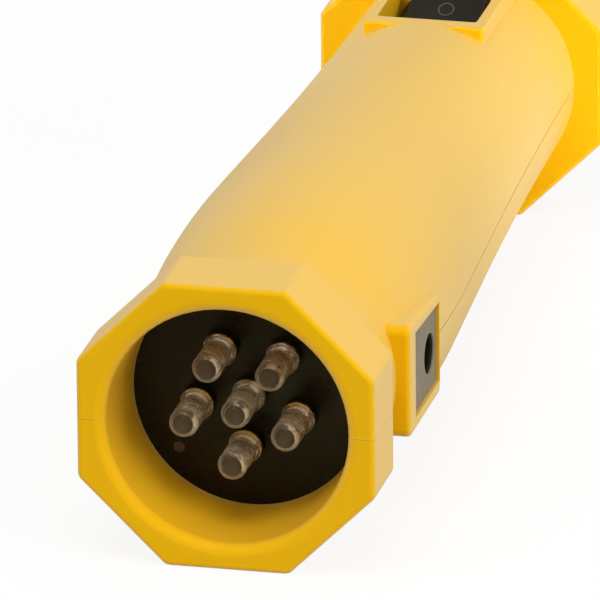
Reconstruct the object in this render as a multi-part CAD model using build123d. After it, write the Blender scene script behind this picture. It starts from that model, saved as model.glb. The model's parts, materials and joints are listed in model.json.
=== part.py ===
"""Hand-held LED test lamp: two-shell moulded body with an octagonal shroud head,
a tapering round handle, a charging jack on its side and a rocker switch on top.

Frame: origin on the lamp's long axis, half way along it. -Y is the front (light
leaves that way), +Z is up (switch side), +X is the charging-jack side.
All lengths in millimetres. A "station" is a distance behind the front face.
"""
from build123d import *
import math
import os

# ---------------------------------------------------------------- main sizes
LENGTH = 190.0            # overall, along Y
HEAD_DEPTH = 14.4         # thickness of the octagonal head
COLLAR = 175.3            # station of the rear octagon's front face
ACROSS_X = 50.0           # octagon across flats, sideways
ACROSS_Z = 49.2           # octagon across flats, up and down
WALL = 2.2                # shell wall
FAR = 60.0                # beyond the body on every side

# Barrel behind the head: tangent arcs, then cones
BARREL_START = (HEAD_DEPTH, 21.93, -0.074)   # station, radius, slope
# (end station, curvature; + bends outwards)
BARREL_ARCS = [(30.0, 1 / 72.0), (46.0, -1 / 159.7), (74.0, -1 / 291.5)]
# (end station, slope)
BARREL_CONES = [(104.0, -0.0514), (118.0, -0.0457), (132.0, -0.0382),
                (146.0, -0.0307), (160.0, -0.0232), (COLLAR, -0.0153)]

BOARD_FRONT = 18.0        # station of the LED board's front face
BOARD_R = 20.1
BOARD_T = 1.6             # thickness of both circuit boards
GASKET_T = 0.5
GASKET_BACK = BOARD_FRONT + BOARD_T + GASKET_T

os.makedirs("parts", exist_ok=True)


# ------------------------------------------------------------------- helpers
def back(station):
    """Y of a station."""
    return -LENGTH / 2 + station


def span(start, end):
    """Y of two stations."""
    return back(start), back(end)


def around(centre, half):
    """Both ends of a range about its centre."""
    return centre - half, centre + half


def polar(radius, degrees):
    angle = math.radians(degrees)
    return radius * math.cos(angle), radius * math.sin(angle)


def box(x0, x1, y0, y1, z0, z1):
    return Pos((x0 + x1) / 2, (y0 + y1) / 2, (z0 + z1) / 2) * Box(
        abs(x1 - x0), abs(y1 - y0), abs(z1 - z0))


def rod(axis, radius, start, end, u=0.0, v=0.0, end_radius=None):
    """Cylinder, or cone to end_radius, along an axis; u, v are the other two
    coordinates in X, Y, Z order."""
    height = end - start
    middle = (start + end) / 2
    if end_radius is None:
        body = Cylinder(radius, height)
    else:
        body = Cone(radius, end_radius, height)
    if axis == "z":
        return Pos(u, v, middle) * body
    if axis == "x":
        return Pos(middle, u, v) * Rot(0, 90, 0) * body
    return Pos(u, middle, v) * Rot(-90, 0, 0) * body


def turned(points):
    """Solid of revolution about Y of a polygon of (radius, station)."""
    edge = Polyline(*[(radius, back(station), 0) for radius, station in points], close=True)
    return revolve(make_face(edge), Axis.Y, 360)


def disc(radius, start, end):
    return turned([(0, start), (radius, start), (radius, end), (0, end)])


def side_prism(x0, x1, outline):
    """Prism along X of a polygon given as (y, z)."""
    edge = Polyline(*[(x0, y, z) for y, z in outline], close=True)
    return extrude(make_face(edge), amount=x1 - x0, dir=(1, 0, 0))


def edges_along(body, axis):
    return [e for e in body.edges() if abs(getattr(e.tangent_at(0.5), axis)) > 0.99]


def edges_beyond(body, axis, limit):
    """Edges lying wholly at or beyond a limit on an axis."""
    return [e for e in body.edges() if getattr(e.bounding_box().min, axis) > limit - 1e-3]


def barrel_profile():
    """Pieces as lists of (radius, station): three points for an arc, two for a cone."""
    station, radius, slope = BARREL_START
    angle = math.atan(slope)
    pieces = []
    for end, curvature in BARREL_ARCS:
        piece = [(radius, station)]
        for here in ((station + end) / 2, end):
            sine = math.sin(angle) + curvature * (here - station)
            rise = (math.cos(angle) - math.sqrt(1 - sine * sine)) / curvature
            piece.append((radius + rise, here))
        angle = math.asin(math.sin(angle) + curvature * (end - station))
        radius, station = piece[-1]
        pieces.append(piece)
    for end, slope in BARREL_CONES:
        end_radius = radius + slope * (end - station)
        pieces.append([(radius, station), (end_radius, end)])
        radius, station = end_radius, end
    return pieces


def barrel(inset, start, end):
    """Barrel shrunk by inset, between two stations."""
    line = []
    for piece in barrel_profile():
        points = [(radius - inset, back(station), 0) for radius, station in piece]
        line.append(ThreePointArc(*points) if len(points) == 3 else Line(*points))
    first, last = line[0] @ 0, line[-1] @ 1
    line += [Line(last, (0, last.Y, 0)),
             Line((0, last.Y, 0), (0, first.Y, 0)),
             Line((0, first.Y, 0), first)]
    body = revolve(make_face(line), Axis.Y, 360)
    return body & box(*around(0, FAR), *span(start, end), *around(0, FAR))


def octagon(inset, start, end, corner=0.0, rim=0.0):
    """Octagonal prism along Y; corner rounds its long edges, rim its end edges."""
    half_x, half_z = ACROSS_X / 2 - inset, ACROSS_Z / 2 - inset
    ratio = math.tan(math.radians(22.5))
    cut_x, cut_z = half_x * ratio, half_z * ratio
    outline = [(half_x, -cut_z), (half_x, cut_z), (cut_x, half_z), (-cut_x, half_z),
               (-half_x, cut_z), (-half_x, -cut_z), (-cut_x, -half_z), (cut_x, -half_z)]
    wire = Polyline(*[(x, back(end), z) for x, z in outline], close=True)
    body = extrude(make_face(wire), amount=end - start, dir=(0, -1, 0))
    if corner:
        body = fillet([e for e in edges_along(body, "Y")
                       if abs(e.length - (end - start)) < 1e-3], corner)
    if rim:
        ring = [e for e in body.edges()
                if any(abs(e.bounding_box().min.Y - y) < 1e-4
                       and abs(e.bounding_box().max.Y - y) < 1e-4
                       for y in span(start, end))]
        body = fillet(ring, rim)
    return body


def save(name, shape):
    """Write one shape, or a list of them, as one STEP file."""
    parts = shape if isinstance(shape, list) else [shape]
    solids = [solid for part in parts for solid in part.solids()]
    item = solids[0] if len(solids) == 1 else Compound(children=solids)
    item.label = name
    export_step(item, f"parts/{name}.step")


# -------------------------------------------------------------------- shells
OCTAGON_CORNER = 1.6
OCTAGON_RIM = 0.9

JACK_BOSS = (28.0, 51.0)  # stations
JACK_BOSS_X = (12.0, 24.55)   # root and outer face
JACK_BOSS_BOTTOM = -10.2
JACK_BOSS_TOP = (9.6, 7.3)    # at its front and rear
PLATE_Y = (32.5, 49.9)    # stations of the jack plate
PLATE_TOP = (6.85, 5.9)   # at its front and rear
PLATE_BOTTOM = (-7.8, -7.7)
PLATE_X = 24.0            # outer face of the plate
PLATE_T = 1.2
PLATE_BACK = PLATE_X - PLATE_T
PLATE_CLEAR = 0.12
JACK_STATION = 44.6       # socket axis
JACK_Y = back(JACK_STATION)
JACK_Z = -1.15            # socket axis, below the parting plane

SWITCH_BOSS = (146.0, 175.6)
SWITCH_BOSS_X = 10.7      # half width
SWITCH_TOP = 19.9         # height of the boss top above the axis
POCKET = (149.2, 173.9)
POCKET_X = 8.75           # half width
POCKET_FLOOR = 12.6
# Ovals that flatten the barrel's top towards the switch: station, half width, half height
OVALS = [(128, 21.45, 21.30), (149.6, 20.72, SWITCH_TOP - 0.02), (175.6, 20.2, 19.75)]

MOUTH_R = 20.3            # shroud bore at its mouth
BORE_R = 19.7             # shroud bore at the LED board
LIP_R = 2.0               # rounding of the mouth
LIP_STEPS = 12
THROAT_R = 18.2
THROAT_END = GASKET_BACK + 1.5
TAIL_WALL = 2.6           # wall of the rear octagon
TAIL_FRONT = COLLAR + 2.4
TAIL_LINK_R = 17.4

SCREW_R = 1.5
SCREW_HEAD_R = 2.75
SCREW_HEAD_T = 2.0
SHELL_SCREWS = [(0.0, 30.0, -14.0), (0.0, 116.5, -14.0),
                (-12.5, 182.5, -15.5), (12.5, 182.5, -15.5)]  # x, station, head seat z
LOWER_POST_R = 4.7
UPPER_POST_R = 3.7

CHARGE_TOP = -8.6         # top face of the charge board
CHARGE_UNDER = CHARGE_TOP - BOARD_T
CHARGE_SCREWS = [(-9.0, back(125.0)), (9.0, back(143.5))]  # x, y
CHARGE_SCREW_R = 0.95

SEAM_GAP = 0.18           # groove where the shells meet, along the handle
SEAM_GAP_HEAD = 0.05      # the same on the head, collar and jack boss
SEAM_DEPTH = 0.5


def make_jack_boss():
    """Boss on the +X side, its top slightly lower at the rear."""
    front, rear = span(*JACK_BOSS)
    boss = side_prism(*JACK_BOSS_X, [(front, JACK_BOSS_BOTTOM), (rear, JACK_BOSS_BOTTOM),
                                     (rear, JACK_BOSS_TOP[1]), (front, JACK_BOSS_TOP[0])])
    boss = fillet(edges_along(boss, "X"), 1.6)
    return fillet(edges_beyond(boss, "X", JACK_BOSS_X[1]), 0.85)


def make_switch_boss():
    boss = box(*around(0, SWITCH_BOSS_X), *span(*SWITCH_BOSS), 8, SWITCH_TOP)
    # the rear edges run into the collar and stay sharp
    boss = fillet([e for e in edges_along(boss, "Z") if e.center().Y < back(150)], 0.9)
    return fillet([e for e in edges_beyond(boss, "Z", SWITCH_TOP)
                   if e.center().Y < back(175)], 0.5)


def oval(station, half_x, half_z):
    return Pos(0, back(station), 0) * Rot(90, 0, 0) * Ellipse(half_x, half_z)


def make_outer():
    """Outside of the body, still solid."""
    head = octagon(0, 0, HEAD_DEPTH, OCTAGON_CORNER, OCTAGON_RIM)
    collar = octagon(0, COLLAR, LENGTH, OCTAGON_CORNER, OCTAGON_RIM)
    hull = barrel(0, HEAD_DEPTH, COLLAR)
    flattened = (loft([oval(*row) for row in OVALS[:2]], ruled=True)
                 + loft([oval(*row) for row in OVALS[1:]], ruled=True))
    hull = hull - (box(-25, 25, *span(OVALS[0][0], 175.5), 0.3, 30) - flattened)
    hull = hull + make_jack_boss()
    return head + hull + collar + make_switch_boss()


def make_hollow():
    """Mouth with a rounded lip, tapered bore, board groove, throat, handle and tail."""
    lip_outer = MOUTH_R + LIP_R
    lip = [(0.0, -1), (lip_outer + 0.15, -1), (lip_outer + 0.15, 0)]
    for i in range(1, LIP_STEPS + 1):
        across, along = polar(LIP_R, 90 * i / LIP_STEPS)
        lip.append((lip_outer - along, LIP_R - across))
    lip += [(BORE_R, BOARD_FRONT), (0.0, BOARD_FRONT)]
    mouth = turned(lip)
    groove = rod("y", BOARD_R + 0.05, *span(BOARD_FRONT, GASKET_BACK))
    throat = rod("y", THROAT_R, *span(GASKET_BACK, THROAT_END))
    cavity = barrel(WALL, THROAT_END, COLLAR)
    tail_room = octagon(TAIL_WALL, TAIL_FRONT, LENGTH - TAIL_WALL)
    tail_link = rod("y", TAIL_LINK_R, back(COLLAR) - 0.5, back(TAIL_FRONT) + 0.5)
    return mouth + groove + throat + cavity + tail_room + tail_link


def add_screw_posts(body):
    keep_in = barrel(0.5, HEAD_DEPTH, COLLAR) + octagon(0.8, COLLAR - 0.1, LENGTH - 0.5)
    for radius, bottom, top in ((LOWER_POST_R, -23.0, 0), (UPPER_POST_R, 0, 21.5)):
        for x, station, _ in SHELL_SCREWS:
            body = body + (rod("z", radius, bottom, top, x, back(station)) & keep_in)
    return body


def add_boss_backing(body):
    """Solid blocks behind the two bosses, kept inside the barrel."""
    front, rear = span(*JACK_BOSS)
    jack_block = box(19.2, JACK_BOSS_X[1] - 0.6, front + 0.3, rear - 0.3, -9.4, 8.4)
    jack_block = jack_block & barrel(0.6, 20, 175)
    switch_block = box(*around(0, SWITCH_BOSS_X), *span(SWITCH_BOSS[0] + 0.3, 175.4),
                       POCKET_FLOOR - 1.8, SWITCH_TOP - 0.6) & barrel(0.6, 20, COLLAR)
    return body + jack_block + switch_block


def cut_screw_holes(body):
    """Head well, clearance hole and pilot hole of each shell screw."""
    for x, station, seat in SHELL_SCREWS:
        y = back(station)
        body = body - rod("z", 3.3, -40, seat, x, y)
        body = body - rod("z", 1.7, seat - 1, 0.01, x, y)
        body = body - rod("z", SCREW_R, 0, 8.0, x, y)
    return body


def plate_blank(x0, x1, grow):
    """The jack plate's outline between two X planes, grown on all sides."""
    front, rear = back(PLATE_Y[0]) - grow, back(PLATE_Y[1]) + grow
    return side_prism(x0, x1, [(front, PLATE_BOTTOM[0] - grow), (rear, PLATE_BOTTOM[1] - grow),
                               (rear, PLATE_TOP[1] + grow), (front, PLATE_TOP[0] + grow)])


def cut_boss_openings(body):
    body = body - plate_blank(PLATE_BACK, 30, PLATE_CLEAR)
    body = body - box(8, 23, *span(JACK_STATION - 7.25, PLATE_Y[1] - 0.4), *around(JACK_Z, 5.6))
    pocket = box(*around(0, POCKET_X), *span(*POCKET), POCKET_FLOOR, 40)
    pocket = fillet(edges_along(pocket, "Z"), 0.7)
    body = body - pocket
    return body - box(*around(0, 7.8), *span(150.9, 172.2), 4, 20)


def add_charge_board_posts(body):
    for x, y in CHARGE_SCREWS:
        post = rod("z", 2.6, -20.5, CHARGE_UNDER, x, y) & barrel(0.5, 20, 175)
        body = body + post - rod("z", CHARGE_SCREW_R, CHARGE_UNDER - 6.5, CHARGE_TOP, x, y)
    return body


def make_seam():
    """Thin groove round the outside at the parting plane."""
    core = (barrel(SEAM_DEPTH, HEAD_DEPTH, COLLAR)
            + octagon(SEAM_DEPTH, SEAM_DEPTH, HEAD_DEPTH)
            + octagon(SEAM_DEPTH, COLLAR, LENGTH - SEAM_DEPTH))
    core = core - disc(MOUTH_R + 0.2, -1, 2.2)
    handle_z, head_z = around(0, SEAM_GAP / 2), around(0, SEAM_GAP_HEAD / 2)
    width = around(0, FAR)
    front, rear = span(*JACK_BOSS)
    seam = box(*width, *span(HEAD_DEPTH, COLLAR), *handle_z)
    seam = seam - box(0, FAR, front - 0.01, rear + 0.01, -5, 5)
    seam = seam + box(*width, *span(-2, HEAD_DEPTH), *head_z)
    seam = seam + box(*width, *span(COLLAR, LENGTH + 2), *head_z)
    seam = seam - core
    # across the jack boss, in front of the plate
    seam = seam + box(24.2, 26, front + 0.05, back(PLATE_Y[0]), *head_z)
    return seam - disc(22.5, 2.0, 30)


def make_shells():
    """The body cut at the parting plane: upper and lower shell."""
    body = make_outer() - make_hollow()
    body = add_screw_posts(body)
    body = add_boss_backing(body)
    body = cut_screw_holes(body)
    body = cut_boss_openings(body)
    body = add_charge_board_posts(body)
    body = body - make_seam()
    sides = (*around(0, FAR), *around(0, LENGTH))
    return body & box(*sides, 0, FAR), body & box(*sides, -FAR, 0)


def shell_screw(x, station, seat):
    """Cross-slotted screw, driven in from below."""
    y = back(station)
    screw = rod("z", SCREW_HEAD_R, seat - SCREW_HEAD_T, seat, x, y)
    screw = fillet([e for e in screw.edges() if e.center().Z < seat - SCREW_HEAD_T + 0.1], 0.6)
    screw = screw + rod("z", SCREW_R, seat, 7.6, x, y)
    for half_x, half_y in ((0.35, 1.7), (1.7, 0.35)):
        screw = screw - box(*around(x, half_x), *around(y, half_y), seat - 2.1, seat - 1.0)
    return screw


upper_shell, lower_shell = make_shells()
save("upper_shell", upper_shell)
save("lower_shell", lower_shell)
save("shell_screws", [shell_screw(*row) for row in SHELL_SCREWS])

# --------------------------------------------------------------- LED cluster
LED_RING_R = 9.0
LED_RING_COUNT = 5
LED_RING_PHASE = -94.0    # degrees, seen from the front, 0 = +X, 90 = +Z
LED_BODY_R = 2.5
LED_FLANGE_R = 2.9
LED_FLANGE_T = 1.0
LED_FLAT_X = 2.55         # flat on the flange's -X side
LED_HEIGHT = 11.2         # flange back to tip
LED_STANDOFF = 1.4        # flange back to board face
LEAD_X = 1.22             # each leg from the LED's axis
LEAD_HALF = 0.25          # half thickness of a leg
LEAD_TAIL = 0.9           # leg beyond the board
INDICATOR_R = 1.0
INDICATOR_AT = (-12.2, -10.6)
RESISTORS = [(-9.5, 5.0), (-5.2, 12.6), (5.2, 12.6),
             (12.4, 4.4), (11.6, -6.8), (-4.8, -3.4)]  # x, z

LEDS_AT = [(0.0, 0.0)] + [polar(LED_RING_R, LED_RING_PHASE + 360 / LED_RING_COUNT * k)
                          for k in range(LED_RING_COUNT)]
FACE_Y = back(BOARD_FRONT)
REAR_Y = FACE_Y + BOARD_T
FLANGE_Y = FACE_Y - LED_STANDOFF      # back plane of the flanges


def lead_pair(x, z):
    """Cathode leg with its cup and anode leg with its post."""
    thick = around(z, LEAD_HALF)
    tail = REAR_Y + LEAD_TAIL
    cathode = box(*around(x + LEAD_X, LEAD_HALF), FLANGE_Y - 3.4, tail, *thick)
    cathode = cathode + box(x - 0.55, x + LEAD_X + LEAD_HALF,
                            FLANGE_Y - 5.4, FLANGE_Y - 3.4, *thick)
    cathode = cathode + rod("y", 0.62, FLANGE_Y - 6.0, FLANGE_Y - 5.4, x, z)
    cathode = cathode - rod("y", 0.42, FLANGE_Y - 6.1, FLANGE_Y - 5.6, x, z)
    anode = box(*around(x - LEAD_X, LEAD_HALF), FLANGE_Y - 5.2, tail, *thick)
    anode = anode + box(x - 1.75, x - 0.9, FLANGE_Y - 6.0, FLANGE_Y - 4.9, *thick)
    return [cathode, anode]


def led_chip(x, z):
    return box(*around(x, 0.18), FLANGE_Y - 5.8, FLANGE_Y - 5.6, *around(z, 0.18))


def lens(x, z):
    """Flanged body with a domed front, not yet cut for its leads."""
    dome_y = FLANGE_Y - (LED_HEIGHT - LED_BODY_R)
    body = rod("y", LED_FLANGE_R, FLANGE_Y - LED_FLANGE_T, FLANGE_Y, x, z)
    body = body - box(x - 4, x - LED_FLAT_X, FLANGE_Y - 2, FLANGE_Y + 1, *around(z, 4))
    body = body + rod("y", LED_BODY_R, dome_y, FLANGE_Y, x, z)
    return body + Pos(x, dome_y, z) * Sphere(LED_BODY_R)


def make_leds():
    """Lenses, leads, chips and solder joints of all LEDs, the centre one first."""
    lenses, leads, chips, joints = [], [], [], []
    for x, z in LEDS_AT:
        pair = lead_pair(x, z)
        chip = led_chip(x, z)
        leads += pair
        chips.append(chip)
        bare = lens(x, z)
        for lead in pair:
            bare = bare - lead
        lenses.append(bare - chip)
        for offset in (-LEAD_X, LEAD_X):
            joint = rod("y", 1.0, REAR_Y, REAR_Y + 0.8, x + offset, z, end_radius=0.45)
            for lead in pair:
                joint = joint - lead
            joints.append(joint)
    return lenses, leads, chips, joints


def make_led_board():
    board = rod("y", BOARD_R, FACE_Y, REAR_Y)
    through = (FACE_Y - 1, REAR_Y + 1)
    for x, z in LEDS_AT:
        for offset in (-LEAD_X, LEAD_X):
            board = board - box(*around(x + offset, LEAD_HALF), *through, *around(z, LEAD_HALF))
    return board - rod("y", INDICATOR_R, *through, *INDICATOR_AT)


led_lenses, led_leads, led_chips, led_joints = make_leds()
save("centre_led_lens", led_lenses[0])
save("ring_led_lenses", led_lenses[1:])
save("led_lead_frames", led_leads)
save("led_chips", led_chips)
save("led_solder_joints", led_joints)
save("led_board", make_led_board())
save("board_gasket", rod("y", BOARD_R, REAR_Y, REAR_Y + GASKET_T)
     - rod("y", THROAT_R + 0.1, REAR_Y - 1, REAR_Y + 2))
save("charge_indicator",
     rod("y", INDICATOR_R - 0.02, FACE_Y + 0.15, REAR_Y + 1.6, *INDICATOR_AT))
save("led_resistors", [box(*around(x, 1.6), REAR_Y, REAR_Y + 0.6, *around(z, 0.8))
                       for x, z in RESISTORS])

# -------------------------------------------------------------- charging jack
JACK_NOSE_R = 3.5         # hole in the plate round the housing's nose
JACK_BORE_R = 2.8
JACK_BORE_DEPTH = 10.0
JACK_PIN_R = 1.05
JACK_FACE_X = PLATE_X - 0.25   # outer end of the nose
JACK_INNER_X = 8.6             # inner end of the housing


def make_jack_plate():
    plate = plate_blank(PLATE_BACK, PLATE_X, 0)
    plate = fillet(edges_along(plate, "X"), 0.5)
    return plate - rod("x", JACK_NOSE_R, 20, 30, JACK_Y, JACK_Z)


def make_jack_housing():
    body = box(JACK_INNER_X, PLATE_BACK, JACK_Y - 5.0, JACK_Y + 4.6, *around(JACK_Z, 5.2))
    body = body + rod("x", JACK_NOSE_R - 0.05, PLATE_BACK - 1, JACK_FACE_X, JACK_Y, JACK_Z)
    body = body - rod("x", JACK_BORE_R, JACK_FACE_X - JACK_BORE_DEPTH, PLATE_X + 1,
                      JACK_Y, JACK_Z)
    body = body - rod("x", JACK_PIN_R, 8.0, 20, JACK_Y, JACK_Z)
    # slot for the spring contact
    body = body - box(12.0, 20.0, JACK_Y + 2.0, JACK_Y + 3.6, *around(JACK_Z, 0.9))
    mouth = [e for e in body.edges().filter_by(GeomType.CIRCLE)
             if abs(e.center().X - JACK_FACE_X) < 1e-3 and abs(e.radius - JACK_BORE_R) < 1e-3]
    return chamfer(mouth, 0.35)


def make_jack_pin():
    pin = rod("x", JACK_PIN_R, 6.6, PLATE_X - 1.6, JACK_Y, JACK_Z)
    return fillet([e for e in pin.edges() if e.center().X > 20], 0.5)


def make_jack_contact():
    """Flat strip with a bent inner end."""
    wide = around(JACK_Z, 0.8)
    return (box(12.2, 19.8, JACK_Y + 2.95, JACK_Y + 3.25, *wide)
            + box(12.2, 12.5, JACK_Y + 2.95, JACK_Y + 3.55, *wide))


def jack_terminal(offset):
    """Drilled tag whose front face is offset behind the socket axis."""
    y = JACK_Y + offset
    return (box(5.4, JACK_INNER_X, y, y + 0.4, *around(JACK_Z, 1.2))
            - rod("y", 0.5, y - 1, y + 1.4, 6.4, JACK_Z))


save("jack_plate", make_jack_plate())
save("jack_housing", make_jack_housing())
save("jack_pin", make_jack_pin())
save("jack_contact", make_jack_contact())
save("jack_terminals", [jack_terminal(2.6), jack_terminal(-3.4)])

# -------------------------------------------------------------- rocker switch
BEZEL_T = 2.0
BEZEL_X = 8.5             # half width
BEZEL = (149.5, 173.6)    # stations
BEZEL_TOP = POCKET_FLOOR + BEZEL_T
SWITCH_Y = sum(span(*BEZEL)) / 2
PIVOT_R = 1.2
PIVOT_CLEAR = 0.05
PIVOT_Z = BEZEL_TOP - 1.5
ROCKER_HALF_W = 6.5
ROCKER_R = 9.3            # end radius about the pivot
ROCKER_END = (-20, 46)    # degrees: start and sweep of the end arc
ROCKER_DIP = 2.15         # top above the pivot at mid length
ROCKER_TILT = 12.0        # degrees
PLUNGER_TIP_Z = PIVOT_Z - 5.6
SEESAW_TOP = PIVOT_Z - 6.45    # when level
SEESAW_T = 0.5
SEESAW_TILT = 7.0
CONTACT_R = 0.9
CONTACT_PITCH = 5.6
TERMINAL_HALF_W = 2.4


def make_switch_housing():
    body = box(*around(0, BEZEL_X), *span(*BEZEL), POCKET_FLOOR, BEZEL_TOP)
    body = fillet(edges_along(body, "Z"), 0.6)
    body = fillet(edges_beyond(body, "Z", BEZEL_TOP), 0.5)
    body = body + box(*around(0, 7.7), *around(SWITCH_Y, 10.55), 1.0, POCKET_FLOOR)
    body = body - box(*around(0, 6.7), *around(SWITCH_Y, 9.6), 2.4, 30)
    body = body - rod("x", PIVOT_R + PIVOT_CLEAR, -7.5, 7.5, SWITCH_Y, PIVOT_Z)
    for offset in (-CONTACT_PITCH, 0.0, CONTACT_PITCH):
        body = body - box(*around(0, TERMINAL_HALF_W), *around(SWITCH_Y + offset, 0.4), 0, 3)
    return body


def tilt(shape, degrees, z=PIVOT_Z):
    """Turn a shape about the X line through the switch's middle at height z."""
    return Pos(0, SWITCH_Y, z) * Rot(degrees, 0, 0) * Pos(0, -SWITCH_Y, -z) * shape


def rocker_profile():
    """(y, z) outline: rear end arc, dished top, front end arc."""
    start, sweep_angle = ROCKER_END
    rear = []
    for i in range(11):
        along, up = polar(ROCKER_R, start + sweep_angle * i / 10)
        rear.append((SWITCH_Y + along, PIVOT_Z + up))
    reach, tip = polar(ROCKER_R, start + sweep_angle)
    top = []
    for i in range(1, 16):
        part = 1 - i / 8
        rise = ROCKER_DIP + (tip - ROCKER_DIP) * abs(part) ** 1.25
        top.append((SWITCH_Y + reach * part, PIVOT_Z + rise))
    front = [(2 * SWITCH_Y - y, z) for y, z in reversed(rear)]
    return rear + top + front


def make_rocker():
    """Button with its pivot, two hollows beneath and a sleeve for the plunger."""
    body = side_prism(-ROCKER_HALF_W, ROCKER_HALF_W, rocker_profile())
    body = body + rod("x", PIVOT_R, -7.35, 7.35, SWITCH_Y, PIVOT_Z)
    for side in (1, -1):
        body = body - box(*around(0, 5.6), *around(SWITCH_Y + side * 5.4, 2.2),
                          PIVOT_Z - 6, PIVOT_Z + 0.6)
    body = body + rod("z", 2.5, PIVOT_Z - 4.4, PIVOT_Z + 0.5, 0, SWITCH_Y)
    return body - rod("z", 1.6, PIVOT_Z - 5, PIVOT_Z - 0.3, 0, SWITCH_Y)


def make_plunger():
    body = rod("z", 1.52, PLUNGER_TIP_Z, PIVOT_Z - 2.6, 0, SWITCH_Y)
    body = body + Pos(0, SWITCH_Y, PLUNGER_TIP_Z) * Sphere(0.75)
    return body + rod("z", 0.6, PIVOT_Z - 2.6, PIVOT_Z - 1.4, 0, SWITCH_Y)


def make_spring():
    coil = Pos(0, SWITCH_Y, PIVOT_Z - 2.4) * Helix(pitch=0.5, height=1.9, radius=1.05)
    section = Plane(origin=coil @ 0, z_dir=coil % 0) * Circle(0.15)
    return sweep(section, path=coil, is_frenet=True)


def make_seesaw():
    under = SEESAW_TOP - SEESAW_T
    blade = box(*around(0, 2.0), *around(SWITCH_Y, 6.4), under, SEESAW_TOP)
    for y in around(SWITCH_Y, CONTACT_PITCH):
        blade = blade + rod("z", CONTACT_R, under - 0.4, under, 0, y)
    return tilt(blade, -SEESAW_TILT, z=under)


def make_switch_terminals():
    """Centre tab under the seesaw and two outer ones with contacts, all drilled."""
    wide = around(0, TERMINAL_HALF_W)
    tabs = [box(*wide, *around(SWITCH_Y, 0.4), -6.0, SEESAW_TOP - 0.62)]
    for y in around(SWITCH_Y, CONTACT_PITCH):
        tab = box(*wide, *around(y, 0.4), -6.0, 3.0)
        tab = tab + box(*wide, *around(y, 1.1), 3.0, 3.6)
        tabs.append(tab + rod("z", CONTACT_R, 3.6, SEESAW_TOP - 1.85, 0, y))
    return [tab - rod("y", 0.8, *around(SWITCH_Y, 20), 0, -4.2) for tab in tabs]


save("switch_housing", make_switch_housing())
save("rocker_button", tilt(make_rocker(), ROCKER_TILT))
save("rocker_plunger", tilt(make_plunger(), ROCKER_TILT))
save("plunger_spring", tilt(make_spring(), ROCKER_TILT))
save("contact_seesaw", make_seesaw())
save("switch_terminals", make_switch_terminals())

# --------------------------------------------------------------- charge board
CHARGE_BOARD = (121.5, 147.0)   # stations
CHARGE_X = 12.5                 # half width
CHARGE_Y = back(CHARGE_BOARD[0])
INDUCTOR_AT = (-7.0, CHARGE_Y + 17.5)
CHIP_X = (0.2, 4.2)
CHIP_PITCH = 1.27


def above(height):
    """Z at a height above the charge board."""
    return CHARGE_TOP + height


def make_charge_board():
    board = box(*around(0, CHARGE_X), *span(*CHARGE_BOARD), CHARGE_UNDER, CHARGE_TOP)
    for x, y in CHARGE_SCREWS:
        board = board - rod("z", 1.15, above(-3), above(1), x, y)
    return board


def charge_screw(x, y):
    return (rod("z", 2.0, CHARGE_TOP, above(1.2), x, y)
            + rod("z", CHARGE_SCREW_R, above(-7.5), CHARGE_TOP, x, y)
            - box(*around(x, 1.3), *around(y, 0.25), above(0.6), above(2)))


def make_inductor():
    """Flanged core and the winding in its waist."""
    def ring(outer, inner, bottom, top):
        return (rod("z", outer, above(bottom), above(top), *INDUCTOR_AT)
                - rod("z", inner, CHARGE_TOP, above(5), *INDUCTOR_AT))

    core = rod("z", 4.0, CHARGE_TOP, above(5.0), *INDUCTOR_AT) - ring(5, 2.2, 1.0, 4.0)
    return core, ring(3.8, 2.25, 1.05, 3.95)


def make_charge_chip():
    body = box(*CHIP_X, CHARGE_Y + 12.0, CHARGE_Y + 17.0, above(0.1), above(1.6))
    for k in range(4):
        y = CHARGE_Y + 12.6 + CHIP_PITCH * k
        for x, leg in zip(CHIP_X, (-1, 1)):
            body = body + box(x, x + leg, *around(y, 0.2), CHARGE_TOP, above(0.5))
    return body


save("charge_board", make_charge_board())
save("charge_board_screws", [charge_screw(x, y) for x, y in CHARGE_SCREWS])
save("smoothing_capacitor", rod("z", 3.2, CHARGE_TOP, above(11), 5.6, CHARGE_Y + 4.6))
inductor_core, inductor_winding = make_inductor()
save("inductor_core", inductor_core)
save("inductor_winding", inductor_winding)
save("charge_chip", make_charge_chip())
save("rectifier_diodes", [box(-3.2, 1.2, y, y + 2.6, CHARGE_TOP, above(2.2))
                          for y in (CHARGE_Y + 2.0, CHARGE_Y + 6.2)])

# ---------------------------------------------------------------------- cells
CELL_R = 7.1
CELLS_Y = span(58.0, 107.0)
CELLS_AT = [polar(8.3, degrees) for degrees in (90, 210, 330)]
CAP_T = 1.2
LINK_T = 0.25
LINK_HALF_W = 2.2
CHANNEL_RING = 15.6       # wire channels between the cells, from the axis


def make_cell(x, z):
    cell = rod("y", CELL_R, *CELLS_Y, x, z)
    return fillet(cell.edges().filter_by(GeomType.CIRCLE), 0.7)


def make_caps():
    """Caps at the rear of the outer two cells in the list, at the front of the middle one."""
    front, rear = CELLS_Y
    ends = [(rear, rear + CAP_T), (front - CAP_T, front), (rear, rear + CAP_T)]
    return [rod("y", 2.75, *end, *place) for end, place in zip(ends, CELLS_AT)]


def strap(start, end, y):
    """Flat link between two cell ends, its front face at y."""
    (x0, z0), (x1, z1) = start, end
    length = math.hypot(x1 - x0, z1 - z0)
    angle = math.degrees(math.atan2(z1 - z0, x1 - x0))
    return (Pos((x0 + x1) / 2, y + LINK_T / 2, (z0 + z1) / 2) * Rot(0, -angle, 0)
            * Box(length + 2 * LINK_HALF_W, LINK_T, 2 * LINK_HALF_W))


def make_links():
    front, rear = CELLS_Y
    first, second, third = CELLS_AT
    return [strap(first, second, rear + CAP_T) + rod("y", 1.6, rear, rear + 1.25, *second),
            strap(second, third, front - CAP_T - LINK_T)
            + rod("y", 1.6, front - 1.25, front, *third)]


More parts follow.
